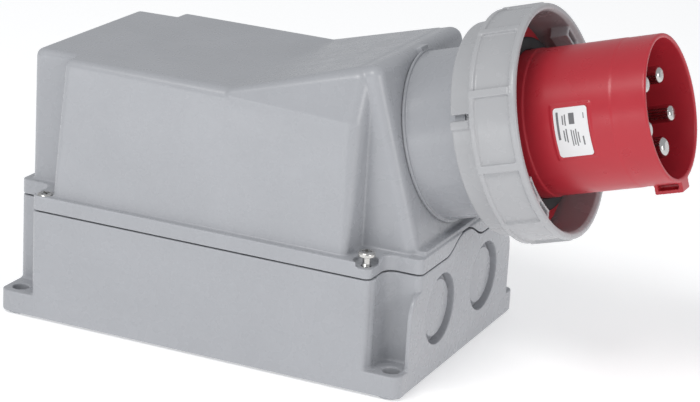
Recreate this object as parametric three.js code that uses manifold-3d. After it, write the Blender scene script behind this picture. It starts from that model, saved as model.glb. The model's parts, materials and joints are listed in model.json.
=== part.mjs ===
// Wall-mounted 125 A power inlet: a base box screwed to a wall, a cover with a tilted neck,
// and a pin-and-sleeve inlet with a bayonet locking ring. Millimetres, +Z away from the wall,
// +X towards the inlet, origin under the middle of its whole length at the height of its feet.
import * as THREE from "three";
import { mergeVertices } from "three/addons/utils/BufferGeometryUtils.js";
import { ConvexGeometry } from "three/addons/geometries/ConvexGeometry.js";
import Module from "manifold-3d";

const wasm = await Module();
wasm.setup();

// ---------------------------------------------------------------- driving dimensions

const fit = 0.3; // gap left between pieces that touch
const through = 1; // how far a cutting tool runs past the face it cuts

const box = { length: 262, width: 176, wall: 4, floor: 4, corner: 4 };
const foot = { height: 1.5, radius: 8 };
const lug = { height: 13.2, reachX: 21.5, reachY: 23, corner: 6, innerRadius: 7 };
const lugHole = { diameter: 10, insetX: 9, insetY: 10 };
// The webs that stand on the two lugs at the inlet's end.
const gusset = { reach: 10.5, straight: 30, top: 43.8, thickness: 2.5 };
const seamHeight = 67.8; // top edge of the base box
const seamGap = 0.8;
const flange = { rise: 9.9, inset: 4 }; // the cover's flange, from the seam up
const rimLedge = 7; // height of the thick inner rim that carries the seal
const seal = { width: 4, height: 3, depth: 2.6, inset: 6.5 };
const hump = { height: 8.9, crest: 8, foot: 54, thickness: 4.4 };

const coverScrew = { shank: 5, head: 10, headHeight: 3.4, length: 26, raised: 5, insetX: 27, insetY: 7 };
const screwSeat = { rise: 6.7, pocket: 15, column: 13 };

// The cover's faces, each by its distance in from the box's own ends and sides. Its shoulders
// stand this far behind the top of the collar's rim.
const roof = { height: 158.3, foldInset: 120.5, sideInset: 15, edge: 5, shoulderEdge: 9 };
const shell = { wall: 3.5, leftInset: 5, shoulderBack: 4.4, slotInset: 32, footInset: 5, slotSideInset: 27 };
const sill = { height: 4, run: 13, halfWidth: 58 };

const tilt = THREE.MathUtils.degToRad(16.2); // the inlet axis rises by this much from the wall's plane
// The neck's face stands square to the axis, its foot this far in from the box's end. The axis runs
// parallel to the rising roof, and the locking ring's front edge is this length in front of the face.
const neck = { footInset: 5, length: 76, axisBelowRoof: 54, edge: 7 };

// Everything on the inlet axis is measured from the ring's front edge, outwards.
const shroud = { radius: 41.5, wall: 2.7, mouth: 64.7, flange: 18.5, baseBack: -28.9, baseFront: -23 };
const pinFloor = { front: -2, thickness: 8 };
const key = { start: 48.4, height: 5.1, width: 12, wall: 2.2, web: 2.4 };
const gasket = { clearance: 0.9, width: 7.1, front: -14 };
const label = { from: 11.5, length: 19.6, turn: -91.5, span: 38, thickness: 0.4, frame: 1.6 };
const flangeScrew = { count: 4, outside: 12, shank: 4, head: 7, headHeight: 2.6, length: 12 };

const pins = { count: 5, circle: 21.3, phase: 10, earth: 12, tip: 57.9, tipRound: 3, back: -30 };
const pilot = { diameter: 6, tip: 28 };
const carrier = { play: 0.8, back: -28.6 };
const terminal = { wall: 3.4, boreGrowth: 0.5, back: -62, boreDepth: 24 };
const terminalClamp = { screw: 6, from: 14, length: 10 };

// The collar: a spigot through the neck's face, a tube, and a nose that carries the ring.
const collar = { spigot: 44.5, wall: 2.5, tube: 4.5, rim: 1.6, rimLength: 1.6, flare: -41.7, flareLength: 2 };
const collarNose = { lip: 3.2, step: 1.8, stepLength: 4.1, screwDepth: 9 };
// The tab on the neck's face that a slot in the collar fits round.
const marker = { width: 10, rise: 2.5, depth: 9, proud: 1.4 };
const lockNut = { wall: 2.8, length: 6, notches: 6, notch: 7, notchDepth: 1.4 };

const ring = { wall: 3.4, lipHeight: 1.2, lipLength: 4 };
const rib = { count: 10, height: 1.9, width: 4.4, turn: -100 };
const ringBore = { play: 2.2, mouth: 1.4, running: 0.4 };
const ringRear = { wall: 2.3, start: -41, end: -27.5, slot: 6, slotTurn: -108.5, slotEnd: -30 };
const ramp = { depth: 6.6, wall: 1.6, span: 30, turn: -56, front: -2.5, length: 11 };

const knockout = { radius: 20.9, disc: 18.4, recess: 5.5, discTop: 2.6, offset: 33.1, height: 39.3, tab: 4 };
const earthBar = { x: -30, sideInset: 36, length: 44, width: 12, height: 9, standHeight: 9 };
const earthScrew = { count: 3, diameter: 6 };

// ---------------------------------------------------------------- colours

const paint = (color, roughness, metalness = 0) =>
  new THREE.MeshStandardMaterial({ color, roughness, metalness });
const grey = paint(0xb2b4b8, 0.45);
const ringGrey = paint(0xaeb1b6, 0.42);
const red = paint(0xbe323c, 0.38);
const black = paint(0x1c1c1e, 0.7);
const steel = paint(0xc8c6c2, 0.25, 1);
const nickel = paint(0xd6d2cc, 0.15, 1);
const brass = paint(0xb8954a, 0.3, 1);
const white = paint(0xf0f0ee, 0.5);

// ---------------------------------------------------------------- solids

// A closed three.js geometry as a solid, its faces turned outwards.
function solid(geometry) {
  const bare = new THREE.BufferGeometry().setAttribute("position", geometry.getAttribute("position"));
  bare.setIndex(geometry.index);
  const merged = mergeVertices(bare, 1e-4);
  const triVerts = new Uint32Array(merged.index.array);
  const vertProperties = merged.getAttribute("position").array;
  const made = new wasm.Manifold(new wasm.Mesh({ numProp: 3, vertProperties, triVerts }));
  if (made.volume() > 0) return made;
  triVerts.reverse();
  return new wasm.Manifold(new wasm.Mesh({ numProp: 3, vertProperties, triVerts }));
}

const joined = (...parts) => parts.reduce((sum, part) => sum.add(part));
const cut = (body, ...tools) => tools.reduce((left, tool) => left.subtract(tool), body);

// A right prism over an outline of [x, y] points, from z0 up to z1.
function prism(outline, z0, z1) {
  const shape = new THREE.Shape(outline);
  const geometry = new THREE.ExtrudeGeometry(shape, { depth: z1 - z0, bevelEnabled: false });
  return solid(geometry.translate(0, 0, z0));
}

// A box between two opposite corners.
function block(low, high) {
  const size = high.map((value, i) => value - low[i]);
  const middle = high.map((value, i) => (value + low[i]) / 2);
  return solid(new THREE.BoxGeometry(...size).translate(...middle));
}

// A cylinder about an axis parallel to Z.
function post(diameter, z0, z1, x = 0, y = 0, sides = 16) {
  const geometry = new THREE.CylinderGeometry(diameter / 2, diameter / 2, z1 - z0, sides);
  return solid(geometry.rotateX(Math.PI / 2).translate(x, y, (z0 + z1) / 2));
}

// A turned piece about Z, from its closed half section of [radius, z] points.
function turned(section, sides = 48) {
  const points = section.map(([radius, z]) => new THREE.Vector2(radius, z));
  if (section[0][0] > 0) points.push(points[0]);
  return solid(new THREE.LatheGeometry(points, sides).rotateX(Math.PI / 2));
}

const tube = (inner, outer, z0, z1, sides) =>
  turned([[inner, z0], [outer, z0], [outer, z1], [inner, z1]], sides);

// A block bent round the Z axis: between two radii, over a span of degrees centred on turn.
function arcBlock(inner, outer, z0, z1, turn, span, steps = 8) {
  const angle = (i) => THREE.MathUtils.degToRad(turn + (i / steps - 0.5) * span);
  const arc = (radius) => Array.from({ length: steps + 1 }, (_, i) =>
    new THREE.Vector2(radius * Math.cos(angle(i)), radius * Math.sin(angle(i))));
  return prism([...arc(outer), ...arc(inner).reverse()], z0, z1);
}

// A polygon of [x, y, radius] corners, anticlockwise, with each corner rounded by an arc.
function rounded(corners, steps = 5) {
  return corners.flatMap(([x, y, radius], i) => {
    const corner = new THREE.Vector2(x, y);
    if (!radius) return [corner];
    const towards = (other) => new THREE.Vector2(other[0], other[1]).sub(corner).normalize();
    const before = towards(corners.at(i - 1));
    const after = towards(corners[(i + 1) % corners.length]);
    const half = Math.acos(before.dot(after)) / 2;
    const inwards = before.clone().add(after).normalize();
    const centre = corner.clone().addScaledVector(inwards, radius / Math.sin(half));
    const start = corner.clone().addScaledVector(before, radius / Math.tan(half));
    const sweep = -Math.sign(before.cross(after)) * (Math.PI - 2 * half);
    const point = (k) => start.clone().rotateAround(centre, (sweep * k) / steps);
    return Array.from({ length: steps + 1 }, (_, k) => point(k));
  });
}

// A quarter's corners, mirrored into all four quadrants in anticlockwise order.
function fourQuarters(quarter) {
  const mirrored = (sx, sy) => quarter.map(([x, y, radius]) => [x * sx, y * sy, radius]);
  return [...mirrored(1, 1), ...mirrored(-1, 1).reverse(), ...mirrored(-1, -1), ...mirrored(1, -1).reverse()];
}

// The smallest solid round a set of balls, given as [x, y, z, radius].
function hull(balls) {
  const points = balls.flatMap(([x, y, z, radius]) => {
    const at = new THREE.Vector3(x, y, z);
    if (!radius) return [at];
    const sphere = new THREE.SphereGeometry(radius, 12, 8).getAttribute("position");
    const corner = (i) => new THREE.Vector3().fromBufferAttribute(sphere, i).add(at);
    return Array.from({ length: sphere.count }, (_, i) => corner(i));
  });
  return solid(new ConvexGeometry(points));
}

// The same hull mirrored to the other side of the XZ plane.
const bothSides = (balls) => [...balls, ...balls.map(([x, y, z, radius]) => [x, -y, z, radius])];

// ---------------------------------------------------------------- places

const halfLength = box.length / 2;
const halfWidth = box.width / 2;
const flangeTop = seamHeight + flange.rise;
const seatHeight = seamHeight + screwSeat.rise;
const earthBarY = halfWidth - earthBar.sideInset;

const signs = [[1, -1], [1, 1], [-1, 1], [-1, -1]];
const screwPlaces = signs.map(([sx, sy]) => [
  sx * (halfLength - coverScrew.insetX),
  sy * (halfWidth - coverScrew.insetY),
]);
const lugHoles = signs.map(([sx, sy]) => [
  sx * (halfLength - lugHole.insetX),
  sy * (halfWidth - lugHole.insetY),
]);

// The middle of the locking ring's front edge, from its places along and across the inlet axis.
const slope = { x: Math.cos(tilt), z: Math.sin(tilt) };
const foldX = halfLength - roof.foldInset;
const faceAlong = (halfLength - neck.footInset) * slope.x + flangeTop * slope.z;
const axisAcross = roof.height * slope.x - foldX * slope.z - neck.axisBelowRoof;
const ringAlong = faceAlong + neck.length;
const ringFront = new THREE.Vector3(
  ringAlong * slope.x - axisAcross * slope.z, 0, ringAlong * slope.z + axisAcross * slope.x);
const neckFace = -neck.length;

// The inlet's own frame: local Z runs out along the inlet axis, local X points down, local Y stays.
const inletTurn = new THREE.Euler(0, Math.PI / 2 - tilt, 0);
const inletMatrix = new THREE.Matrix4().makeRotationFromEuler(inletTurn).setPosition(ringFront);
const alongInlet = (s, down = 0, side = 0) => new THREE.Vector3(down, side, s).applyMatrix4(inletMatrix);
const inPart = (local) => local.transform(inletMatrix.toArray());

// Where the collar's nose and the step behind it end, along the inlet axis.
const noseEnd = shroud.baseBack - fit;
const stepEnd = noseEnd - collarNose.stepLength;

// Radii about the inlet axis, each built up from the one inside it.
const radii = { shroudInner: shroud.radius - shroud.wall };
radii.carrier = radii.shroudInner - carrier.play;
radii.key = shroud.radius + key.height;
radii.gasketInner = shroud.radius + gasket.clearance;
radii.gasketOuter = radii.gasketInner + gasket.width;
radii.flangeScrews = shroud.radius + flangeScrew.outside;
radii.shroudFlange = shroud.radius + shroud.flange;
radii.nose = radii.shroudFlange - collarNose.lip;
radii.step = radii.nose + collarNose.step;
radii.ringShoulder = radii.nose + ringBore.running;
radii.ringRearBore = radii.step + ringBore.running;
radii.ringRear = radii.ringRearBore + ringRear.wall;
radii.ringFront = radii.shroudFlange + ringBore.play;
radii.ringMouth = radii.ringFront + ringBore.mouth;
radii.ramp = radii.ringFront - ramp.depth;
radii.ring = radii.ringFront + ring.wall;
radii.rib = radii.ring + rib.height;
radii.lip = radii.ring + ring.lipHeight;
radii.collarBore = collar.spigot - collar.wall;
radii.tube = collar.spigot + collar.tube;
radii.rim = radii.tube + collar.rim;
radii.terminal = pins.phase / 2 + terminal.wall;
radii.terminalBore = pins.phase / 2 + terminal.boreGrowth;
const markerInner = 0.6 - radii.tube;

// The cover's faces in the box's own frame.
const plan = {
  leftX: shell.leftInset - halfLength,
  foldX,
  shoulderX: alongInlet(neckFace, -radii.rim).x - shell.shoulderBack,
  slotX: halfLength - shell.slotInset,
  roofHalf: halfWidth - roof.sideInset,
  footHalf: halfWidth - shell.footInset,
  slotHalf: halfWidth - shell.slotSideInset,
};

// Where the neck's end face crosses a given height, and the height of the rising roof at a given X.
const neckFaceX = (z) => alongInlet(neckFace).x + (alongInlet(neckFace).z - z) * Math.tan(tilt);
const roofAt = (x) => roof.height + (x - plan.foldX) * Math.tan(tilt);

const pinTurn = (i) => (i * 2 * Math.PI) / pins.count; // the earth pin comes first, at the bottom
const pinPlaces = [
  ...Array.from({ length: pins.count }, (_, i) => ({
    x: pins.circle * Math.cos(pinTurn(i)),
    y: pins.circle * Math.sin(pinTurn(i)),
    diameter: i ? pins.phase : pins.earth,
  })),
  { x: 0, y: 0, diameter: pilot.diameter },
];
const flangeScrewPlaces = Array.from({ length: flangeScrew.count }, (_, i) => {
  const turn = Math.PI / flangeScrew.count + (i * 2 * Math.PI) / flangeScrew.count;
  return [radii.flangeScrews * Math.cos(turn), radii.flangeScrews * Math.sin(turn)];
});

const earthScrewPlaces = Array.from({ length: earthScrew.count }, (_, i) => [
  earthBar.x, earthBarY + (i - (earthScrew.count - 1) / 2) * (earthBar.length / earthScrew.count),
]);

// ---------------------------------------------------------------- base box

// The plan of the walls: a rectangle whose corners are stepped in over the mounting lugs.
function wallPlan(inset = 0) {
  const notchX = halfLength - lug.reachX - inset;
  const notchY = halfWidth - lug.reachY - inset;
  return rounded(fourQuarters([
    [halfLength - inset, notchY, Math.max(box.corner - inset, 1)],
    [notchX, notchY, lug.innerRadius + inset],
    [notchX, halfWidth - inset, Math.max(box.corner - inset, 1)],
  ]));
}

// The seal's path runs inside the cover screws.
function sealPlan(inset) {
  const notchX = halfLength - coverScrew.insetX - screwSeat.column / 2 - seal.width / 2 - 1 - inset;
  const notchY = halfWidth - lug.reachY - seal.inset - inset;
  return rounded(fourQuarters([
    [halfLength - seal.inset - inset, notchY, 4],
    [notchX, notchY, 6],
    [notchX, halfWidth - seal.inset - inset, 4],
  ]));
}

// The arch in the middle of the end wall's rim, as [y, z] points, or the same moved outwards.
function humpProfile(grow, steps = 16) {
  const run = (hump.foot - hump.crest) / 2;
  const rise = (y) => THREE.MathUtils.smoothstep(hump.foot / 2 - Math.abs(y), 0, run);
  const ends = hump.foot / 2 + grow;
  const arch = Array.from({ length: steps + 1 }, (_, i) => {
    const y = hump.foot * (0.5 - i / steps);
    return [(y * ends * 2) / hump.foot, seamHeight + grow + hump.height * rise(y)];
  });
  const outline = [[-ends, seamHeight - through], [ends, seamHeight - through], ...arch];
  return outline.map(([y, z]) => new THREE.Vector2(y, z));
}

// A profile of [y, z] points run along X between two values.
function alongX(profile, x0, x1) {
  const shape = new THREE.Shape(profile);
  const geometry = new THREE.ExtrudeGeometry(shape, { depth: x1 - x0, bevelEnabled: false });
  const turnYZ = new THREE.Matrix4().set(0, 0, 1, x0, 1, 0, 0, 0, 0, 1, 0, 0, 0, 0, 0, 1);
  return solid(geometry.applyMatrix4(turnYZ));
}

function knockoutHole(sign) {
  const y = sign * knockout.offset;
  const hole = post(knockout.radius * 2, -box.wall - knockout.recess - through, through, 0, 0, 40);
  const face = new THREE.Matrix4().makeRotationY(Math.PI / 2).setPosition(halfLength, y, knockout.height);
  return hole.transform(face.toArray());
}

function knockoutBoss(sign) {
  const y = sign * knockout.offset;
  const boss = post((knockout.radius + box.wall) * 2, -knockout.recess - box.wall, -0.5, 0, 0, 32);
  const face = new THREE.Matrix4().makeRotationY(Math.PI / 2).setPosition(halfLength, y, knockout.height);
  return boss.transform(face.toArray());
}

// The inlet end's two gussets as one [y, z] outline: upright edges that curve in to the wall.
function gussetProfile(steps = 8) {
  const wallY = halfWidth - lug.reachY;
  const low = foot.height + lug.height - 1;
  const curve = (i) => {
    const turn = (i / steps) * (Math.PI / 2);
    const rise = (gusset.top - gusset.straight) * Math.sin(turn);
    return [wallY - 1 + (gusset.reach + 1) * Math.cos(turn), low + 1 + gusset.straight + rise];
  };
  const side = [[wallY + gusset.reach, low], ...Array.from({ length: steps + 1 }, (_, i) => curve(i))];
  const otherSide = side.map(([y, z]) => [-y, z]).reverse();
  return [...side, ...otherSide].map(([y, z]) => new THREE.Vector2(y, z));
}

function baseBox() {
  const under = foot.height;
  const plate = rounded(fourQuarters([[halfLength, halfWidth, lug.corner]]));
  const innerFloor = under + box.floor;
  const walls = prism(wallPlan(), under, seamHeight);
  const room = prism(wallPlan(box.wall), innerFloor, seamHeight + through);
  const ledge = cut(
    prism(wallPlan(box.wall / 2), seamHeight - rimLedge, seamHeight),
    prism(sealPlan(seal.width / 2 + 2), seamHeight - rimLedge - through, seamHeight + through),
  );
  const groove = cut(
    prism(sealPlan(-seal.width / 2 - fit), seamHeight - seal.depth, seamHeight + through),
    prism(sealPlan(seal.width / 2 + fit), seamHeight - seal.depth - through, seamHeight + 2 * through),
  );
  const columns = screwPlaces.map(([x, y]) => post(screwSeat.column, under, seamHeight, x, y));
  const threads = screwPlaces.map(([x, y]) =>
    post(coverScrew.shank + 2 * fit, seatHeight - coverScrew.length - 2, seamHeight + through, x, y, 16));
  const feet = lugHoles.map(([x, y]) => post(foot.radius * 2, 0, under + 1, x, y));
  const lugTop = under + lug.height;
  const mountHoles = lugHoles.map(([x, y]) => post(lugHole.diameter, -through, lugTop + through, x, y));
  const stands = [-1, 1].map((end) =>
    post(9, under, innerFloor + earthBar.standHeight, earthBar.x, earthBarY + (end * earthBar.length) / 3));
  const shellBody = cut(joined(walls, prism(plate, under, lugTop)), room);
  const bosses = [-1, 1].map((sign) => knockoutBoss(sign));
  const holes = [-1, 1].map((sign) => knockoutHole(sign));
  const webs = alongX(gussetProfile(), halfLength - gusset.thickness, halfLength);
  const raised = alongX(humpProfile(0), halfLength - hump.thickness, halfLength);
  return cut(joined(shellBody, ledge, ...columns, ...feet, ...stands, ...bosses, raised, webs),
    groove, ...threads, ...mountHoles, ...holes);
}

// The breakable disc in a knockout, with the two little bridges that hold it.
function knockoutDisc(sign) {
  const bridge = (turn) => {
    const bar = block([knockout.disc - 1, -knockout.tab / 2, -knockout.recess],
      [knockout.radius - fit, knockout.tab / 2, -knockout.recess + 1.4]);
    return bar.transform(new THREE.Matrix4().makeRotationZ(THREE.MathUtils.degToRad(turn)).toArray());
  };
  const back = -knockout.recess - box.wall + 1;
  const disc = turned([
    [0, back], [knockout.radius - fit, back], [knockout.radius - fit, -knockout.recess],
    [knockout.disc, -knockout.recess], [knockout.disc - 1.6, -knockout.discTop], [0, -knockout.discTop],
  ], 40);
  const face = new THREE.Matrix4().makeRotationY(Math.PI / 2)
    .setPosition(halfLength, sign * knockout.offset, knockout.height);
  return joined(disc, bridge(100), bridge(-40)).transform(face.toArray());
}

function boxSeal() {
  const floor = seamHeight - seal.depth + fit;
  return cut(
    prism(sealPlan(-seal.width / 2), floor, floor + seal.height - fit),
    prism(sealPlan(seal.width / 2), floor - through, floor + seal.height + through),
  );
}

// ---------------------------------------------------------------- cover

// The cover's outer form, or its inner one when every face is moved in by the wall.
function coverForm(inset) {
  const bottom = flangeTop - 4 - (inset ? 2 * inset : 0);
  const edge = Math.max(roof.edge - inset, 2);
  const shoulderEdge = roof.shoulderEdge - inset;
  const upright = 4;
  const left = plan.leftX + inset;
  const slot = plan.slotX - inset;
  const shoulder = plan.shoulderX - inset;
  const top = roof.height - inset;
  const foldX = plan.foldX + inset * Math.tan(tilt / 2);
  const roofHalf = plan.roofHalf - inset;
  const footHalf = plan.footHalf - inset;
  const slotHalf = plan.slotHalf - inset;
  const faceX = (z) => neckFaceX(z) - inset / Math.cos(tilt);
  const crestZ = (x) => roofAt(x) - inset / Math.cos(tilt);

  const longBody = hull(bothSides([
    [-slot + upright, footHalf - upright, bottom + upright, upright],
    [shoulder - upright, footHalf - upright, bottom + upright, upright],
    [-slot + edge, roofHalf - edge, top - edge, edge],
    [shoulder - shoulderEdge, roofHalf - shoulderEdge, top - shoulderEdge, shoulderEdge],
  ]));
  const leftEnd = hull(bothSides([
    [left + upright, slotHalf - upright, bottom + upright, upright],
    [foldX, slotHalf, bottom, 0],
    [left + edge, slotHalf - edge, top - edge, edge],
    [foldX, slotHalf, top, 0],
  ]));
  const shoulderTop = crestZ(shoulder - shoulderEdge) - shoulderEdge;
  const risingTop = hull(bothSides([
    [foldX, roofHalf - edge, top - edge, edge],
    [foldX, roofHalf - edge, bottom + edge, edge],
    [shoulder - upright, footHalf - 2 * upright, bottom + upright, upright],
    [shoulder - shoulderEdge, roofHalf - shoulderEdge, top - shoulderEdge, shoulderEdge],
    [shoulder - shoulderEdge, slotHalf - shoulderEdge + 3, shoulderTop, shoulderEdge],
  ]));
  const faceEdge = Math.max(neck.edge - inset, 1);
  const faceTop = alongInlet(neckFace - inset - faceEdge, -(neck.axisBelowRoof - inset - faceEdge));
  const tilted = hull(bothSides([
    [foldX, slotHalf, bottom, 0],
    [foldX, slotHalf, top, 0],
    [faceX(bottom + faceEdge) - faceEdge / Math.cos(tilt), slotHalf - faceEdge, bottom + faceEdge, faceEdge],
    [faceTop.x, slotHalf - faceEdge, faceTop.z, faceEdge],
  ]));
  return joined(longBody, leftEnd, risingTop, tilted);
}

function cover() {
  const plateLow = seamHeight + seamGap;
  const plate = prism(wallPlan(), plateLow, flangeTop);
  const faceFoot = neckFaceX(flangeTop);
  const sillBlock = prism(
    rounded([
      [faceFoot - sill.run, -sill.halfWidth, 0], [halfLength - 1, -sill.halfWidth, 3],
      [halfLength - 1, sill.halfWidth, 3], [faceFoot - sill.run, sill.halfWidth, 0],
    ]), flangeTop - 1, flangeTop + sill.height - 1.5);
  const outer = joined(coverForm(0), plate, sillBlock);
  const screwWells = screwPlaces.flatMap(([x, y]) => {
    const pocket = x > 0 ? screwSeat.pocket : coverScrew.head + 4 * fit;
    return [
      post(pocket, seatHeight, roof.height * 2, x, y, 32),
      post(coverScrew.shank + 2 * fit, plateLow - through, seatHeight + through, x, y, 16),
    ];
  });
  const below = prism(rounded(fourQuarters([[halfLength * 2, halfWidth * 2, 0]])), -through, plateLow);
  const room = coverForm(shell.wall);
  const mouth = prism(sealPlan(flange.inset + 1), plateLow - through, flangeTop - shell.wall);
  const humpNotch = alongX(humpProfile(seamGap), halfLength - hump.thickness - seamGap, halfLength + through);
  const bore = inPart(post(2 * (collar.spigot + fit), neckFace - 20, neckFace + 20, 0, 0, 64));
  const tab = inPart(block([-radii.rim - marker.rise, -marker.width / 2, neckFace - marker.depth],
    [markerInner, marker.width / 2, neckFace + marker.proud]));
  return cut(joined(outer, tab), below, room, mouth, humpNotch, bore, ...screwWells);
}

// A captive pan-head cover screw with a cross recess, its seat at z = 0.
function coverScrewSolid() {
  const radius = coverScrew.head / 2;
  const body = turned([
    [0, -coverScrew.length], [coverScrew.shank / 2 - 0.6, -coverScrew.length],
    [coverScrew.shank / 2, -coverScrew.length + 1.4], [coverScrew.shank / 2, fit], [radius, fit],
    [radius, coverScrew.headHeight * 0.45], [radius * 0.78, coverScrew.headHeight * 0.86],
    [radius * 0.4, coverScrew.headHeight], [0, coverScrew.headHeight],
  ], 16);
  const slot = (turn) => block([-radius * 0.55, -0.6, coverScrew.headHeight - 1.8],
    [radius * 0.55, 0.6, coverScrew.headHeight + through])
    .transform(new THREE.Matrix4().makeRotationZ(turn).toArray());
  return cut(body, slot(0.4), slot(0.4 + Math.PI / 2));
}

// ---------------------------------------------------------------- inlet, in its own frame

function inletCollar() {
  const face = neckFace + fit;
  const inside = face - shell.wall - lockNut.length - 3;
  const body = turned([
    [radii.collarBore, inside], [collar.spigot, inside],
    [collar.spigot, face], [radii.rim, face], [radii.rim, face + collar.rimLength],
    [radii.tube, face + collar.rimLength],
    [radii.tube, collar.flare], [radii.step, collar.flare + collar.flareLength],
    [radii.step, stepEnd],
    [radii.nose, stepEnd], [radii.nose, noseEnd], [radii.collarBore, noseEnd],
  ], 56);
  const groove = tube(collar.spigot + 1.2, radii.tube - 0.8, face - through, face + 1.8, 56);
  const holes = flangeScrewPlaces.map(([x, y]) =>
    post(flangeScrew.shank + 2 * fit, noseEnd - collarNose.screwDepth, noseEnd + through, x, y, 12));
  const markerSlot = block([-radii.rim - 3, -marker.width / 2 - fit, face - through],
    [markerInner + fit, marker.width / 2 + fit, neckFace + marker.proud + fit]);
  return cut(body, groove, markerSlot, ...holes);
}

const collarSeal = () =>
  tube(collar.spigot + 1.2 + fit, radii.tube - 0.8 - fit, neckFace + fit, neckFace + fit + 1.5, 56);

function collarNut() {
  const top = neckFace - shell.wall - fit;
  const radius = collar.spigot + fit + lockNut.wall;
  const body = tube(collar.spigot + fit, radius, top - lockNut.length, top, 48);
  const notches = Array.from({ length: lockNut.notches }, (_, i) =>
    arcBlock(radius - lockNut.notchDepth, radius + through, top - lockNut.length - through, top + through,
      (i * 360) / lockNut.notches, lockNut.notch, 2));
  return cut(body, ...notches);
}

function bayonetRing() {
  const body = turned([
    [radii.ringRearBore, ringRear.start], [radii.ringRear - 0.8, ringRear.start],
    [radii.ringRear, ringRear.start + 0.8], [radii.ringRear, ringRear.end], [radii.ring, ringRear.end],
    [radii.ring, -ring.lipLength], [radii.lip, -ring.lipLength], [radii.lip, -1], [radii.lip - 1, 0],
    [radii.ringMouth, 0], [radii.ringFront, -2], [radii.ringFront, shroud.baseBack - fit],
    [radii.ringShoulder, shroud.baseBack - fit], [radii.ringShoulder, stepEnd + fit],
    [radii.ringRearBore, stepEnd + fit],
  ], 60);
  const ribAngle = THREE.MathUtils.radToDeg(rib.width / radii.ring);
  const ribs = Array.from({ length: rib.count }, (_, i) =>
    arcBlock(radii.ring - 1, radii.rib, ringRear.end, -ring.lipLength + 0.5,
      rib.turn + ((i + 0.5) * 360) / rib.count, ribAngle, 3));
  const rearBand = tube(radii.ring - 1, radii.rib - 0.6, ringRear.end, ringRear.end + 3, 60);
  const slot = arcBlock(radii.ringRearBore - through, radii.ringRear + through, ringRear.start - through,
    ringRear.slotEnd, ringRear.slotTurn, ringRear.slot, 2);
  const ramps = [0, 180].map((half) => bayonetRamp(ramp.turn + half));
  return cut(joined(body, ...ribs, rearBand, ...ramps), slot);
}

// One inner ramp of the bayonet: an arc with two pockets in its inner face.
function bayonetRamp(turn) {
  const back = ramp.front - ramp.length;
  const body = arcBlock(radii.ramp, radii.ringFront + 0.8, back, ramp.front, turn, ramp.span, 10);
  const pockets = [-1, 1].map((side) =>
    arcBlock(radii.ramp + ramp.wall, radii.ringFront - 1, back + 2, ramp.front + through,
      turn + (side * ramp.span) / 4, ramp.span / 2 - 4, 5));
  return cut(body, ...pockets);
}

function inletShroud() {
  const inner = radii.shroudInner;
  const body = turned([
    [inner, shroud.mouth - 0.8], [inner + 0.8, shroud.mouth], [shroud.radius - 0.6, shroud.mouth],
    [shroud.radius, shroud.mouth - 0.6], [shroud.radius, shroud.baseFront + 4],
    [shroud.radius + 0.6, shroud.baseFront + 1], [shroud.radius + 0.6, shroud.baseFront],
    [radii.shroudFlange, shroud.baseFront], [radii.shroudFlange, shroud.baseBack], [inner, shroud.baseBack],
  ], 56);
  const rail = block([shroud.radius - 1.5, -key.width / 2, key.start],
    [radii.key, key.width / 2, shroud.mouth]);
  const pocket = (side) => block(
    [shroud.radius - 0.2, side > 0 ? key.web / 2 : -key.width, key.start + key.wall],
    [radii.key - key.wall, side > 0 ? key.width : -key.web / 2, shroud.mouth - key.wall]);
  const frame = arcBlock(shroud.radius - 0.5, shroud.radius + label.thickness + 0.2,
    label.from - label.frame, label.from + label.length + label.frame, label.turn, label.span + 4, 10);
  const labelSeat = arcBlock(shroud.radius + fit / 3, shroud.radius + 3, label.from - fit,
    label.from + label.length + fit, label.turn, label.span + 0.8, 10);
  const flangeHoles = flangeScrewPlaces.map(([x, y]) =>
    post(flangeScrew.shank + 2 * fit, shroud.baseBack - through, shroud.baseFront + through, x, y, 12));
  const keyed = cut(rail, pocket(1), pocket(-1));
  const hollow = post(2 * (inner + 1), shroud.baseBack, shroud.mouth + through, 0, 0, 56);
  const skirt = cut(joined(keyed, frame), hollow);
  return cut(joined(body, skirt), labelSeat, ...flangeHoles);
}

// The holes that the pins pass through, between two places along the inlet axis.
const pinHoles = (from, to) => pinPlaces.map(({ x, y, diameter }) =>
  post(diameter + 2 * fit, from - through, to + through, x, y, 20));

// The floor of the shroud, a plate round the pins.
function pinFloorPlate() {
  const back = pinFloor.front - pinFloor.thickness;
  const edge = radii.shroudInner - fit;
  const plate = turned([[0, back], [edge, back], [edge, pinFloor.front - 0.6], [edge - 0.6, pinFloor.front],
    [0, pinFloor.front]], 48);
  return cut(plate, ...pinHoles(back, pinFloor.front));
}

const ratingLabel = () => arcBlock(shroud.radius + fit, shroud.radius + fit + label.thickness, label.from,
  label.from + label.length, label.turn, label.span, 10);

function shroudGasket() {
  const back = shroud.baseFront + fit;
  const body = turned([
    [radii.gasketInner, back], [radii.gasketOuter, back], [radii.gasketOuter, gasket.front - 1.5],
    [radii.gasketOuter - 1.5, gasket.front], [radii.gasketInner, gasket.front],
  ], 48);
  const reliefs = [20, 110, 200, 290].map((turn) =>
    arcBlock(radii.gasketOuter - 3, radii.gasketOuter + through,
      back - through, gasket.front + through, turn, 9, 2));
  return cut(body, ...reliefs);
}

function flangeScrewSolid() {
  const radius = flangeScrew.head / 2;
  const body = turned([
    [0, -flangeScrew.length], [flangeScrew.shank / 2, -flangeScrew.length], [flangeScrew.shank / 2, fit],
    [radius, fit], [radius, flangeScrew.headHeight * 0.6], [radius * 0.7, flangeScrew.headHeight],
    [0, flangeScrew.headHeight],
  ], 16);
  const slot = block([-radius - through, -0.5, flangeScrew.headHeight - 1],
    [radius + through, 0.5, flangeScrew.headHeight + through]);
  return cut(body, slot);
}

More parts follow.
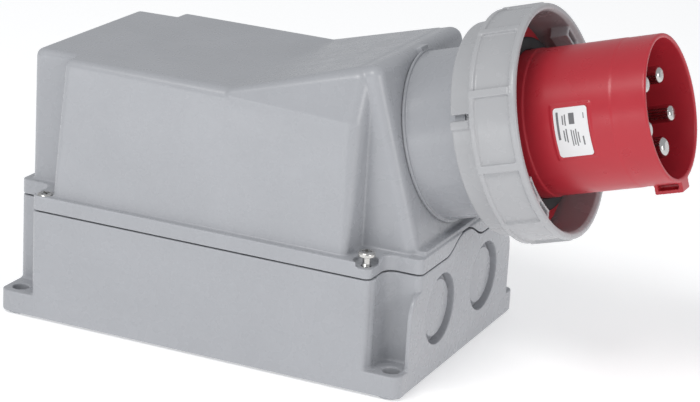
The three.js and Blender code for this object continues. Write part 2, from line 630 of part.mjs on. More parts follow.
function contactPin(diameter, tip) {
  const radius = diameter / 2;
  const dome = Array.from({ length: 5 }, (_, i) => {
    const angle = (i / 4) * (Math.PI / 2);
    return [radius - pins.tipRound * (1 - Math.cos(angle)), tip - pins.tipRound * (1 - Math.sin(angle))];
  });
  return turned([[0, pins.back], [radius, pins.back], ...dome, [0, tip]], 20);
}

function pinCarrier() {
  const front = pinFloor.front - pinFloor.thickness - fit;
  return cut(post(2 * radii.carrier, carrier.back, front, 0, 0, 48), ...pinHoles(carrier.back, front));
}

// A brass terminal sleeve behind one pin, its cable bore opening backwards, its screw hole outwards.
function terminalSleeve(turn) {
  const front = pins.back - fit;
  const body = post(2 * radii.terminal, terminal.back, front, pins.circle, 0, 24);
  const boreEnd = terminal.back + terminal.boreDepth;
  const bore = post(2 * radii.terminalBore, terminal.back - through, boreEnd, pins.circle, 0);
  const outside = pins.circle + radii.terminal + through;
  const screwHole = radialPost(terminalClamp.screw + 2 * fit, pins.circle + 1, outside);
  return cut(body, bore, screwHole).transform(turnedBy(turn));
}

const turnedBy = (turn) => new THREE.Matrix4().makeRotationZ(turn).toArray();

// A cylinder along local X at the terminal screw's place along the inlet axis.
function radialPost(diameter, x0, x1) {
  const along = terminal.back + terminalClamp.from;
  const lay = new THREE.Matrix4().makeRotationY(Math.PI / 2).setPosition(0, 0, along);
  return post(diameter, x0, x1, 0, 0, 16).transform(lay.toArray());
}

function terminalScrew(turn) {
  const start = pins.circle + 3;
  const screw = radialPost(terminalClamp.screw, start, start + terminalClamp.length);
  const end = start + terminalClamp.length;
  const along = terminal.back + terminalClamp.from;
  const half = terminalClamp.screw;
  const slot = block([end - 1.4, -half, along - 0.5], [end + through, half, along + 0.5]);
  return cut(screw, slot).transform(turnedBy(turn));
}

// ---------------------------------------------------------------- earth bar in the base

function earthBarSolid() {
  const low = foot.height + box.floor + earthBar.standHeight + fit;
  const body = block([earthBar.x - earthBar.width / 2, earthBarY - earthBar.length / 2, low],
    [earthBar.x + earthBar.width / 2, earthBarY + earthBar.length / 2, low + earthBar.height]);
  const holes = earthScrewPlaces.map(([x, y]) =>
    post(earthScrew.diameter + 2 * fit, low + 2, low + earthBar.height + through, x, y, 16));
  return cut(body, ...holes);
}

function earthScrewSolid() {
  const low = foot.height + box.floor + earthBar.standHeight + fit;
  const top = low + earthBar.height;
  const slot = block([-earthScrew.diameter, -0.6, top + 1], [earthScrew.diameter, 0.6, top + 4]);
  return cut(post(earthScrew.diameter, low + 3, top + 2.4, 0, 0, 16), slot);
}

// ---------------------------------------------------------------- scene

const inlet = new THREE.Group();
inlet.position.copy(ringFront);
inlet.rotation.copy(inletTurn);
// The box and the inlet are laid out from the middle of the box, then moved so that the part's
// origin is under the middle of its whole length.
const reach = alongInlet(shroud.mouth, radii.key).x;
const assembly = new THREE.Group();
assembly.position.x = (halfLength - reach) / 2;
assembly.add(inlet);
const part = new THREE.Group();
part.add(assembly);

// Adds a solid to a group as a named mesh, at a place in that group.
function add(group, name, body, material, place = [0, 0, 0]) {
  const { vertProperties, triVerts } = body.getMesh();
  const geometry = new THREE.BufferGeometry();
  geometry.setAttribute("position", new THREE.BufferAttribute(new Float32Array(vertProperties), 3));
  geometry.setIndex(new THREE.BufferAttribute(new Uint32Array(triVerts), 1));
  geometry.computeVertexNormals();
  const mesh = new THREE.Mesh(geometry, material);
  mesh.name = name;
  mesh.position.set(...place);
  group.add(mesh);
}

add(assembly, "base_box", baseBox(), grey);
add(assembly, "base_seal", boxSeal(), black);
add(assembly, "knockout_front", knockoutDisc(-1), grey);
add(assembly, "knockout_back", knockoutDisc(1), grey);
add(assembly, "earth_bar", earthBarSolid(), brass);
earthScrewPlaces.forEach(([x, y], i) =>
  add(assembly, `earth_screw_${i + 1}`, earthScrewSolid(), steel, [x, y, 0]));
add(assembly, "cover", cover(), grey);
screwPlaces.forEach(([x, y], i) => {
  const lift = i ? 0 : coverScrew.raised; // the first one, at the inlet's front corner, stands undone
  add(assembly, `cover_screw_${i + 1}`, coverScrewSolid(), steel, [x, y, seatHeight + lift]);
});

add(inlet, "inlet_collar", inletCollar(), grey);
add(inlet, "collar_seal", collarSeal(), black);
add(inlet, "collar_nut", collarNut(), grey);
add(inlet, "bayonet_ring", bayonetRing(), ringGrey);
add(inlet, "inlet_shroud", inletShroud(), red);
add(inlet, "shroud_gasket", shroudGasket(), black);
add(inlet, "rating_label", ratingLabel(), white);
add(inlet, "pin_floor", pinFloorPlate(), red);
add(inlet, "pin_carrier", pinCarrier(), black);
flangeScrewPlaces.forEach(([x, y], i) =>
  add(inlet, `flange_screw_${i + 1}`, flangeScrewSolid(), steel, [x, y, shroud.baseFront]));
pinPlaces.forEach(({ x, y, diameter }, i) => {
  const names = ["earth_pin", "phase_pin_1", "phase_pin_2", "phase_pin_3", "neutral_pin", "pilot_pin"];
  const tip = i < pins.count ? pins.tip : pilot.tip;
  add(inlet, names[i], contactPin(diameter, tip), nickel, [x, y, 0]);
});
for (let i = 0; i < pins.count; i++) {
  add(inlet, `terminal_${i + 1}`, terminalSleeve(pinTurn(i)), brass);
  add(inlet, `terminal_screw_${i + 1}`, terminalScrew(pinTurn(i)), steel);
}

export default part;
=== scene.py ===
"""A wall-mounted power inlet box on a pale floor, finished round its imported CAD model.

The frame is in metres with +Z up. Sizes below are in millimetres, in two working frames:
the box frame, whose origin is under the middle of the box, and the inlet frame, whose Z runs
out along the inlet axis from the locking ring's front edge, with X pointing down.
"""

import json
import math

import bmesh
import bpy
from mathutils import Matrix, Vector


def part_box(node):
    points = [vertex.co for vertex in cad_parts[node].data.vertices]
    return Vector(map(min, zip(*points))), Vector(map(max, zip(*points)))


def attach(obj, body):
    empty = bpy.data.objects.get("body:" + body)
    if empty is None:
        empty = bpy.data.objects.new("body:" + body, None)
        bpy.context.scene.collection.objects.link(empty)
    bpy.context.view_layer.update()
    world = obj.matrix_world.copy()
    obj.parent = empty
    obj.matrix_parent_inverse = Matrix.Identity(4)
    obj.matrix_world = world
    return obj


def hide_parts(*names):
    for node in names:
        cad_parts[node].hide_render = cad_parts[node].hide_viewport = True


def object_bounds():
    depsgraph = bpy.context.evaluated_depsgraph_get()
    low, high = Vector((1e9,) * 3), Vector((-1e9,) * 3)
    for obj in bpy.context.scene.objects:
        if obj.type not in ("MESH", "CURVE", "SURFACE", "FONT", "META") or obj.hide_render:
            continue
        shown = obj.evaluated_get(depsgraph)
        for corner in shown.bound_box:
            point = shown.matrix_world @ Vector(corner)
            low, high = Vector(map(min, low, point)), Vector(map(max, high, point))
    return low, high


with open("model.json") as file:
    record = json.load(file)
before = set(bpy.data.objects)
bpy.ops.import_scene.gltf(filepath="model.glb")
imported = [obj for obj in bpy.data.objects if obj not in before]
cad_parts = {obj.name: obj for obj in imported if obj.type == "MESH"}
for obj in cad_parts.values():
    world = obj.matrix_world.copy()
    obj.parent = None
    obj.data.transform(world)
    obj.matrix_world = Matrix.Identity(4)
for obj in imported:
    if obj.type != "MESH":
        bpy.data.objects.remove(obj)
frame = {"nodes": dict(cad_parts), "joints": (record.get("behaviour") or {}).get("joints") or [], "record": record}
cad_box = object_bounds()
MM = 0.001

# ---------------------------------------------------------------- sizes shared by several pieces

BASE_LOW, BASE_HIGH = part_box("base_box")
BOX_LENGTH = (BASE_HIGH.x - BASE_LOW.x) / MM
BOX_WIDTH = (BASE_HIGH.y - BASE_LOW.y) / MM
HALF_LENGTH, HALF_WIDTH = BOX_LENGTH / 2, BOX_WIDTH / 2
GAP = 0.3
MOULD_CELL = 0.65 * MM
FINE_CELL = 0.5 * MM

RING_JOINT = next(joint for joint in frame["joints"] if joint["name"] == "ring_turn")
TILT = math.asin(RING_JOINT["axis"][2])
IN_BOX = Matrix.Translation(((BASE_LOW.x + BASE_HIGH.x) / 2, 0, 0)) @ Matrix.Scale(MM, 4)
IN_INLET = (
    Matrix.Translation(RING_JOINT["pos_m"])
    @ Matrix.Rotation(math.pi / 2 - TILT, 4, "Y")
    @ Matrix.Scale(MM, 4)
)
INLET_TO_BOX = IN_BOX.inverted() @ IN_INLET

# ---------------------------------------------------------------- materials


class Nodes:
    """A new material's node tree, with short calls to add and join nodes."""

    def __init__(self, name):
        self.material = bpy.data.materials.new(name)
        self.material.use_nodes = True
        self.tree = self.material.node_tree
        self.shader = self.tree.nodes["Principled BSDF"]
        self.place = self.tree.nodes.new("ShaderNodeTexCoord").outputs["Object"]

    def add(self, kind, **settings):
        node = self.tree.nodes.new(kind)
        for key, value in settings.items():
            setattr(node, key, value)
        return node

    def join(self, source, target):
        self.tree.links.new(source, target)

    def noise(self, scale, detail=2.0, roughness=0.5):
        """Noise with features 1 / scale metres across."""
        node = self.add("ShaderNodeTexNoise")
        node.inputs["Scale"].default_value = scale
        node.inputs["Detail"].default_value = detail
        node.inputs["Roughness"].default_value = roughness
        self.join(self.place, node.inputs["Vector"])
        return node.outputs["Fac"]

    def spread(self, source, low, high, start=0.3, end=0.7):
        """Moves a value that lies between start and end to between low and high."""
        node = self.add("ShaderNodeMapRange")
        for key, value in zip(("From Min", "From Max", "To Min", "To Max"), (start, end, low, high)):
            node.inputs[key].default_value = value
        self.join(source, node.inputs["Value"])
        return node.outputs["Result"]

    def tint(self, factor, low, high):
        """A colour between two others."""
        node = self.add("ShaderNodeMix", data_type="RGBA")
        node.inputs[6].default_value = (*low, 1)
        node.inputs[7].default_value = (*high, 1)
        self.join(factor, node.inputs[0])
        return node.outputs[2]

    def bump(self, height, strength, distance):
        node = self.add("ShaderNodeBump")
        node.inputs["Strength"].default_value = strength
        node.inputs["Distance"].default_value = distance
        self.join(height, node.inputs["Height"])
        self.join(node.outputs["Normal"], self.shader.inputs["Normal"])


def shade(color, factor):
    return tuple(min(1.0, channel * factor) for channel in color)


def moulded_plastic(name, color, rough, grain=0.35, gloss=0.45, edge_highlight=1.08):
    """Injection-moulded plastic: faint flow mottling, a fine eroded grain, and convex edges made paler as a
    painted highlight.
    """
    nodes = Nodes(name)
    mottle = nodes.spread(nodes.noise(26, 4), 0, 1)
    body = nodes.tint(mottle, shade(color, 0.97), shade(color, 1.02))
    # Painted highlight: convex edges, found by pointiness, are given a paler copy of the colour.
    edge = nodes.add("ShaderNodeNewGeometry").outputs["Pointiness"]
    painted_highlight_share = nodes.spread(edge, 0, 1, 0.515, 0.60)
    highlight_mix = nodes.add("ShaderNodeMix", data_type="RGBA")
    nodes.join(painted_highlight_share, highlight_mix.inputs[0])
    nodes.join(body, highlight_mix.inputs[6])
    highlight_mix.inputs[7].default_value = (*shade(color, edge_highlight), 1)
    nodes.join(highlight_mix.outputs[2], nodes.shader.inputs["Base Color"])
    sheen = nodes.spread(nodes.noise(90, 3), rough - 0.04, rough + 0.05)
    nodes.join(sheen, nodes.shader.inputs["Roughness"])
    nodes.shader.inputs["Specular IOR Level"].default_value = gloss
    nodes.bump(nodes.noise(2600, 2, 0.6), grain, 0.00003)
    return nodes.material


def plated_metal(name, color, rough, scratch=500.0):
    """Plated or turned metal with fine turning marks and a little tarnish."""
    nodes = Nodes(name)
    tarnish = nodes.spread(nodes.noise(160, 4), 0, 1)
    nodes.join(nodes.tint(tarnish, shade(color, 0.9), color), nodes.shader.inputs["Base Color"])
    nodes.shader.inputs["Metallic"].default_value = 1.0
    sheen = nodes.spread(nodes.noise(scratch, 3), rough - 0.03, rough + 0.06)
    nodes.join(sheen, nodes.shader.inputs["Roughness"])
    nodes.bump(nodes.noise(4000, 2), 0.15, 0.00002)
    return nodes.material


HOUSING = moulded_plastic("housing_grey_plastic", (0.39, 0.40, 0.425), 0.27)
RING_GREY = moulded_plastic("ring_grey_plastic", (0.43, 0.435, 0.45), 0.25)
RED = moulded_plastic("red_plastic", (0.47, 0.026, 0.04), 0.30, grain=0.2, gloss=0.45, edge_highlight=1.06)
RUBBER = moulded_plastic("black_rubber", (0.018, 0.018, 0.02), 0.62, grain=0.6, gloss=0.3, edge_highlight=1.6)
CARRIER = moulded_plastic("black_plastic", (0.022, 0.021, 0.022), 0.5, grain=0.4, edge_highlight=1.4)
STEEL = plated_metal("screw_steel_metal", (0.66, 0.65, 0.63), 0.24)
NICKEL = plated_metal("pin_nickel_metal", (0.62, 0.61, 0.60), 0.14)
BRASS = plated_metal("terminal_brass_metal", (0.72, 0.52, 0.24), 0.3)
LABEL_WHITE = moulded_plastic("label_white_film", (0.80, 0.80, 0.81), 0.42, grain=0.1, edge_highlight=1.0)
LABEL_INK = moulded_plastic("label_ink", (0.16, 0.16, 0.17), 0.45, grain=0.1, edge_highlight=1.0)

FINISHES = {
    "housing_grey": HOUSING,
    "ring_grey": RING_GREY,
    "inlet_red": RED,
    "gasket_black": RUBBER,
    "carrier_black": CARRIER,
    "screw_steel": STEEL,
    "pin_nickel": NICKEL,
    "terminal_brass": BRASS,
    "label_white": LABEL_WHITE,
}
for subpart in frame["record"]["subparts"]:
    mesh = frame["nodes"][subpart["node"]].data
    mesh.materials.clear()
    mesh.materials.append(FINISHES[subpart["material_slot"]])

# ---------------------------------------------------------------- solids from mesh code


def rounded(corners, radius=0.0, steps=4):
    """A closed outline of (x, y) or (x, y, radius) corners, each rounded by an arc."""
    points = []
    for i, corner in enumerate(corners):
        here = Vector(corner[:2])
        wanted = corner[2] if len(corner) > 2 else radius
        before = Vector(corners[i - 1][:2]) - here
        after = Vector(corners[(i + 1) % len(corners)][:2]) - here
        half = before.angle(after) / 2
        if wanted <= 0 or half > math.pi / 2 - 0.01:
            points.append(here)
            continue
        reach = min(wanted / math.tan(half), before.length * 0.48, after.length * 0.48)
        real = reach * math.tan(half)
        towards = (before.normalized() + after.normalized()).normalized()
        centre = here + towards * (real / math.sin(half))
        start = here + before.normalized() * reach - centre
        end = here + after.normalized() * reach - centre
        sweep = start.angle_signed(end)
        for k in range(steps + 1):
            points.append(centre + Matrix.Rotation(-sweep * k / steps, 2) @ start)
    return points


def lathe(section, steps=160):
    """A turned solid about Z from its closed half section of (radius, z) points."""
    bm = bmesh.new()
    rings = []
    for radius, along in section:
        if radius < 1e-6:
            rings.append([bm.verts.new((0, 0, along))])
            continue
        turns = [2 * math.pi * k / steps for k in range(steps)]
        rings.append([bm.verts.new((radius * math.cos(t), radius * math.sin(t), along)) for t in turns])
    for i, ring in enumerate(rings):
        after = rings[(i + 1) % len(rings)]
        if len(ring) == len(after) == 1:
            continue
        for k in range(steps):
            corners = [ring[k % len(ring)], ring[(k + 1) % len(ring)]]
            corners += [after[(k + 1) % len(after)], after[k % len(after)]]
            bm.faces.new(list(dict.fromkeys(corners)))
    return closed(bm)


def loft(outlines):
    """A solid through a stack of equal-length closed outlines of 3-D points."""
    bm = bmesh.new()
    stack = [[bm.verts.new(point) for point in outline] for outline in outlines]
    for low, high in zip(stack, stack[1:]):
        for k in range(len(low)):
            after = (k + 1) % len(low)
            bm.faces.new((low[k], low[after], high[after], high[k]))
    bm.faces.new(stack[0][::-1])
    bm.faces.new(stack[-1])
    return closed(bm)


def prism(outline, z0, z1):
    """A right prism over an outline of (x, y) points."""
    return loft([[(point[0], point[1], z) for point in outline] for z in (z0, z1)])


def block(low, high):
    """A box between two opposite corners."""
    outline = [(low[0], low[1]), (high[0], low[1]), (high[0], high[1]), (low[0], high[1])]
    return prism(outline, low[2], high[2])


def post(diameter, z0, z1, x=0.0, y=0.0, sides=48):
    """A cylinder about an axis parallel to Z."""
    turns = [2 * math.pi * k / sides for k in range(sides)]
    outline = [(x + diameter / 2 * math.cos(t), y + diameter / 2 * math.sin(t)) for t in turns]
    return prism(outline, z0, z1)


def arc_block(inner, outer, z0, z1, turn, span, steps=12):
    """A block bent round Z, over a span of degrees centred on turn."""
    turns = [math.radians(turn + (k / steps - 0.5) * span) for k in range(steps + 1)]
    outside = [(outer * math.cos(t), outer * math.sin(t)) for t in turns]
    inside = [(inner * math.cos(t), inner * math.sin(t)) for t in reversed(turns)]
    return prism(outside + inside, z0, z1)


def along_x(profile, x0, x1):
    """A profile of (y, z) points run along X between two values."""
    return loft([[(x, point[0], point[1]) for point in profile] for x in (x0, x1)])


def hull(balls, around=40, rows=20):
    """The smallest solid round a set of (x, y, z, radius) balls."""
    bm = bmesh.new()
    for x, y, z, radius in balls:
        if not radius:
            bm.verts.new((x, y, z))
            continue
        ball = bmesh.ops.create_uvsphere(bm, u_segments=around, v_segments=rows, radius=radius)
        bmesh.ops.translate(bm, verts=ball["verts"], vec=(x, y, z))
    bmesh.ops.delete(bm, geom=bm.faces[:], context="FACES_ONLY")
    made = bmesh.ops.convex_hull(bm, input=bm.verts)
    left_over = made["geom_interior"] + made["geom_unused"]
    spare = [item for item in left_over if isinstance(item, bmesh.types.BMVert)]
    bmesh.ops.delete(bm, geom=list(dict.fromkeys(spare)), context="VERTS")
    return closed(bm)


def both_sides(balls):
    return balls + [(x, -y, z, radius) for x, y, z, radius in balls]


def closed(bm):
    """A scene object from a finished bmesh, its faces turned outwards."""
    bmesh.ops.recalc_face_normals(bm, faces=bm.faces)
    mesh = bpy.data.meshes.new("solid")
    bm.to_mesh(mesh)
    bm.free()
    obj = bpy.data.objects.new("solid", mesh)
    bpy.context.scene.collection.objects.link(obj)
    return obj


def placed(obj, matrix):
    obj.data.transform(matrix)
    return obj


def bake(obj):
    """Puts the result of an object's modifiers into its mesh."""
    bpy.context.view_layer.update()
    graph = bpy.context.evaluated_depsgraph_get()
    mesh = bpy.data.meshes.new_from_object(obj.evaluated_get(graph))
    obj.modifiers.clear()
    obj.data = mesh
    return obj


def combined(body, tools, operation):
    """The body after joining, cutting or meeting each tool in turn. The tools are used up."""
    for tool in tools:
        modifier = body.modifiers.new("combine", "BOOLEAN")
        modifier.operation = operation
        modifier.solver = "MANIFOLD"
        modifier.object = tool
    bake(body)
    for tool in tools:
        bpy.data.objects.remove(tool)
    return body


def join(body, *tools):
    return combined(body, tools, "UNION")


def cut(body, *tools):
    return combined(body, tools, "DIFFERENCE")


def moulded(obj, cell, passes):
    """Gives every edge and inner corner the small radius of a moulding."""
    remesh = obj.modifiers.new("mould", "REMESH")
    remesh.mode = "VOXEL"
    remesh.voxel_size = cell
    soften = obj.modifiers.new("soften", "SMOOTH")
    soften.factor = 0.5
    soften.iterations = passes
    return bake(obj)


def piece(name, obj, body, slot, *nodes, crease=40):
    """Names a finished solid, gives it its finish and puts it on its body in place of CAD nodes."""
    obj.name = obj.data.name = name
    obj.data.materials.clear()
    obj.data.materials.append(FINISHES[slot])
    obj.data.polygons.foreach_set("use_smooth", [True] * len(obj.data.polygons))
    obj.data.set_sharp_from_angle(angle=math.radians(crease))
    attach(obj, body)
    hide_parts(*nodes)
    return obj


def copy_of(node):
    """A free copy of a CAD node's mesh."""
    obj = bpy.data.objects.new(node + "_copy", frame["nodes"][node].data.copy())
    bpy.context.scene.collection.objects.link(obj)
    weld = obj.modifiers.new("weld", "WELD")
    weld.merge_threshold = 1e-6
    return bake(obj)


# ---------------------------------------------------------------- camera, lights and floor


def camera_axes(azimuth, elevation, roll):
    """The camera's right, up and back directions. Azimuth 0 looks along +Y."""
    back = Vector((
        math.sin(azimuth) * math.cos(elevation),
        -math.cos(azimuth) * math.cos(elevation),
        math.sin(elevation),
    ))
    right = Vector((math.cos(azimuth), math.sin(azimuth), 0))
    up = back.cross(right)
    return (
        right * math.cos(roll) + up * math.sin(roll),
        up * math.cos(roll) - right * math.sin(roll),
        back,
    )


def make_camera():
    right, up, back = camera_axes(math.radians(24.02), math.radians(18.03), math.radians(3.34))
    middle = (cad_box[0] + cad_box[1]) / 2
    aim = middle - right * 0.00869 - up * 0.0244
    data = bpy.data.cameras.new("camera")
    data.sensor_width = 36
    data.lens = 121.04
    data.clip_end = 50
    camera = bpy.data.objects.new("camera", data)
    turn = Matrix((right, up, back)).transposed().to_4x4()
    camera.matrix_world = Matrix.Translation(aim + back * 1.3803) @ turn
    bpy.context.scene.collection.objects.link(camera)
    bpy.context.scene.camera = camera


def area_light(name, place, target, size, power, color=(1, 1, 1)):
    data = bpy.data.lights.new(name, "AREA")
    data.shape = "RECTANGLE"
    data.size, data.size_y = size
    data.energy = power
    data.color = color
    light = bpy.data.objects.new(name, data)
    direction = Vector(target) - Vector(place)
    light.matrix_world = Matrix.Translation(place) @ direction.to_track_quat("-Z", "Y").to_matrix().to_4x4()
    bpy.context.scene.collection.objects.link(light)


def make_studio():
    world = bpy.data.worlds.new("studio")
    world.use_nodes = True
    world.node_tree.nodes["Background"].inputs["Color"].default_value = (0.95, 0.97, 1, 1)
    world.node_tree.nodes["Background"].inputs["Strength"].default_value = 0.50
    bpy.context.scene.world = world
    area_light("key", (-0.5, -1.5, 2.0), (0, 0, 0.1), (1.2, 0.7), 22, (1, 0.99, 0.97))
    area_light("side", (2.3, -0.9, 0.8), (0, 0, 0.1), (0.9, 1.0), 13, (1, 0.98, 0.96))
    area_light("low", (-0.8, -2.4, 0.2), (0, 0, 0.08), (1.8, 0.4), 5, (0.98, 0.99, 1))

    floor = block((-4000, -4000, -12), (4000, 4000, 0))
    floor.data.transform(Matrix.Scale(MM, 4))
    floor.name = "floor"
    nodes = Nodes("floor_paper")
    fibre = nodes.spread(nodes.noise(300, 3), 0, 1)
    nodes.join(nodes.tint(fibre, (0.90, 0.90, 0.90), (0.93, 0.93, 0.93)), nodes.shader.inputs["Base Color"])
    nodes.shader.inputs["Roughness"].default_value = 0.9
    nodes.shader.inputs["Specular IOR Level"].default_value = 0.1
    nodes.shader.inputs["Emission Color"].default_value = (1, 1, 1, 1)
    nodes.shader.inputs["Emission Strength"].default_value = 0.36
    floor.data.materials.append(nodes.material)
    bpy.context.scene.view_settings.view_transform = "Standard"


make_camera()
make_studio()

# ---------------------------------------------------------------- base box


def make_base():
    body = moulded(copy_of("base_box"), MOULD_CELL, 2)
    piece("base_moulding", body, "base", "housing_grey", "base_box")


KNOCKOUT = {"radius": 20.9, "disc": 18.4, "recess": 5.5, "top": 2.6, "offset": 33.1, "height": 39.3}


def make_knockout(name, node, sign):
    size = KNOCKOUT
    rim = size["radius"] - GAP
    back = -size["recess"] - 3
    disc = lathe(rounded([
        (0, back, 0), (rim, back), (rim, -size["recess"]), (size["disc"], -size["recess"], 0.3),
        (size["disc"] - 1.6, -size["top"], 0.8), (0, -size["top"], 0),
    ], 0.2), 120)
    bridges = []
    for turn in (100, -40):
        bridge = block((size["disc"] - 1, -2, -size["recess"]), (rim, 2, -size["recess"] + 1.4))
        bridges.append(placed(bridge, Matrix.Rotation(math.radians(turn), 4, "Z")))
    join(disc, *bridges)
    face = Matrix.Translation((HALF_LENGTH, sign * size["offset"], size["height"]))
    placed(disc, IN_BOX @ face @ Matrix.Rotation(math.pi / 2, 4, "Y"))
    piece(name, disc, "base", "housing_grey", node)


make_base()
make_knockout("knockout_disc_front", "knockout_front", -1)
make_knockout("knockout_disc_back", "knockout_back", 1)

# ---------------------------------------------------------------- cover

HUMP = {"height": 8.9, "crest": 8, "foot": 54, "thickness": 4.4}
SEAM = BASE_HIGH.z / MM - HUMP["height"]
SEAM_GAP = 0.8
FLANGE_TOP = SEAM + 9.9
WALL = 3.5
CORNER = 4
LUG = {"x": 21.5, "y": 23, "radius": 7}
ROOF = {
    "height": 158.3, "fold": HALF_LENGTH - 120.5, "half": HALF_WIDTH - 15, "edge": 5, "shoulder_edge": 9,
}
BODY = {
    "left": 5 - HALF_LENGTH, "slot": HALF_LENGTH - 32, "foot": HALF_WIDTH - 5, "slot_half": HALF_WIDTH - 27,
    "shoulder_back": 4.4,
}
NECK_FACE, NECK_EDGE, AXIS_BELOW_ROOF = -76, 7, 54
COLLAR = {"bore": 42, "spigot": 44.5, "radius": 49, "rim": 50.6, "rim_length": 1.6, "flare": -41.7}
MARKER = {"half": 5, "top": COLLAR["rim"] + 2.5, "inner": COLLAR["radius"] - 0.6, "depth": 9, "proud": 1.4}
SILL = {"height": 4, "run": 13, "half": 58}
SEAL = {"inset": 6.5, "width": 4}
SCREW_SEAT = {"height": SEAM + 6.7, "pocket": 15, "column": 13}
SCREW = {"shank": 5, "head": 10, "head_height": 3.4, "length": 26, "inset_x": 27, "inset_y": 7, "raised": 5}
THREAD = {"pitch": 0.8, "ridges": 26, "depth": 0.3, "lead": 1.4}
CROSS = {"share": 0.55, "half_width": 0.6, "depth": 1.8}
SIGNS = ((1, -1), (1, 1), (-1, 1), (-1, -1))
SCREW_PLACES = [
    (sx * (HALF_LENGTH - SCREW["inset_x"]), sy * (HALF_WIDTH - SCREW["inset_y"])) for sx, sy in SIGNS
]


def in_box(along, down=0.0, side=0.0):
    """A point of the inlet frame, in the box frame."""
    return INLET_TO_BOX @ Vector((down, side, along))


def four_quarters(quarter):
    """A quarter's corners mirrored into all four quadrants, anticlockwise."""
    def mirrored(sx, sy):
        return [(x * sx, y * sy, radius) for x, y, radius in quarter]

    return mirrored(1, 1) + mirrored(-1, 1)[::-1] + mirrored(-1, -1) + mirrored(1, -1)[::-1]


def wall_plan(inset=0.0):
    """The plan of the walls, stepped in over the mounting lugs."""
    notch_x = HALF_LENGTH - LUG["x"] - inset
    notch_y = HALF_WIDTH - LUG["y"] - inset
    corner = max(CORNER - inset, 1)
    return rounded(four_quarters([
        (HALF_LENGTH - inset, notch_y, corner),
        (notch_x, notch_y, LUG["radius"] + inset),
        (notch_x, HALF_WIDTH - inset, corner),
    ]), steps=10)


def seal_plan(inset):
    """The seal's path, which runs inside the cover screws."""
    notch_x = HALF_LENGTH - SCREW["inset_x"] - SCREW_SEAT["column"] / 2 - SEAL["width"] / 2 - 1 - inset
    notch_y = HALF_WIDTH - LUG["y"] - SEAL["inset"] - inset
    return rounded(four_quarters([
        (HALF_LENGTH - SEAL["inset"] - inset, notch_y, 4),
        (notch_x, notch_y, 6),
        (notch_x, HALF_WIDTH - SEAL["inset"] - inset, 4),
    ]))


def hump_profile(grow, steps=40):
    """The arch in the middle of the end wall's rim as (y, z) points, or the same moved outwards."""
    half = HUMP["foot"] / 2
    ends = half + grow
    arch = []
    for k in range(steps + 1):
        y = half * (1 - 2 * k / steps)
        share = min((half - abs(y)) / (half - HUMP["crest"] / 2), 1)
        rise = share * share * (3 - 2 * share)
        arch.append((y * ends / half, SEAM + grow + HUMP["height"] * rise))
    return [(-ends, SEAM - 1), (ends, SEAM - 1)] + arch


def roof_at(x):
    return ROOF["height"] + (x - ROOF["fold"]) * math.tan(TILT)


def neck_face_x(z):
    face = in_box(NECK_FACE)
    return face.x + (face.z - z) * math.tan(TILT)


def cover_form(inset):
    """The cover's outer form, or its inner one when every face is moved in."""
    bottom = FLANGE_TOP - 4 - 2 * inset
    edge = max(ROOF["edge"] - inset, 2)
    shoulder_edge = ROOF["shoulder_edge"] - inset
    upright = 4
    left, slot = BODY["left"] + inset, BODY["slot"] - inset
    shoulder = in_box(NECK_FACE, -COLLAR["rim"]).x - BODY["shoulder_back"] - inset
    top = ROOF["height"] - inset
    fold = ROOF["fold"] + inset * math.tan(TILT / 2)
    roof_half, foot_half = ROOF["half"] - inset, BODY["foot"] - inset
    slot_half = BODY["slot_half"] - inset
    crest = shoulder - shoulder_edge
    shoulder_top = roof_at(crest) - inset / math.cos(TILT) - shoulder_edge
    long_body = hull(both_sides([
        (-slot + upright, foot_half - upright, bottom + upright, upright),
        (shoulder - upright, foot_half - upright, bottom + upright, upright),
        (-slot + edge, roof_half - edge, top - edge, edge),
        (crest, roof_half - shoulder_edge, top - shoulder_edge, shoulder_edge),
    ]))
    left_end = hull(both_sides([
        (left + upright, slot_half - upright, bottom + upright, upright),
        (fold, slot_half, bottom, 0),
        (left + edge, slot_half - edge, top - edge, edge),
        (fold, slot_half, top, 0),
    ]))
    rising_top = hull(both_sides([
        (fold, roof_half - edge, top - edge, edge),
        (fold, roof_half - edge, bottom + edge, edge),
        (shoulder - upright, foot_half - 2 * upright, bottom + upright, upright),
        (crest, roof_half - shoulder_edge, top - shoulder_edge, shoulder_edge),
        (crest, slot_half - shoulder_edge + 3, shoulder_top, shoulder_edge),
    ]))
    face_edge = max(NECK_EDGE - inset, 1)
    face_top = in_box(NECK_FACE - inset - face_edge, inset + face_edge - AXIS_BELOW_ROOF)
    face_foot = neck_face_x(bottom + face_edge) - (inset + face_edge) / math.cos(TILT)
    neck = hull(both_sides([
        (fold, slot_half, bottom, 0),
        (fold, slot_half, top, 0),
        (face_foot, slot_half - face_edge, bottom + face_edge, face_edge),
        (face_top.x, slot_half - face_edge, face_top.z, face_edge),
    ]))
    return join(long_body, left_end, rising_top, neck)


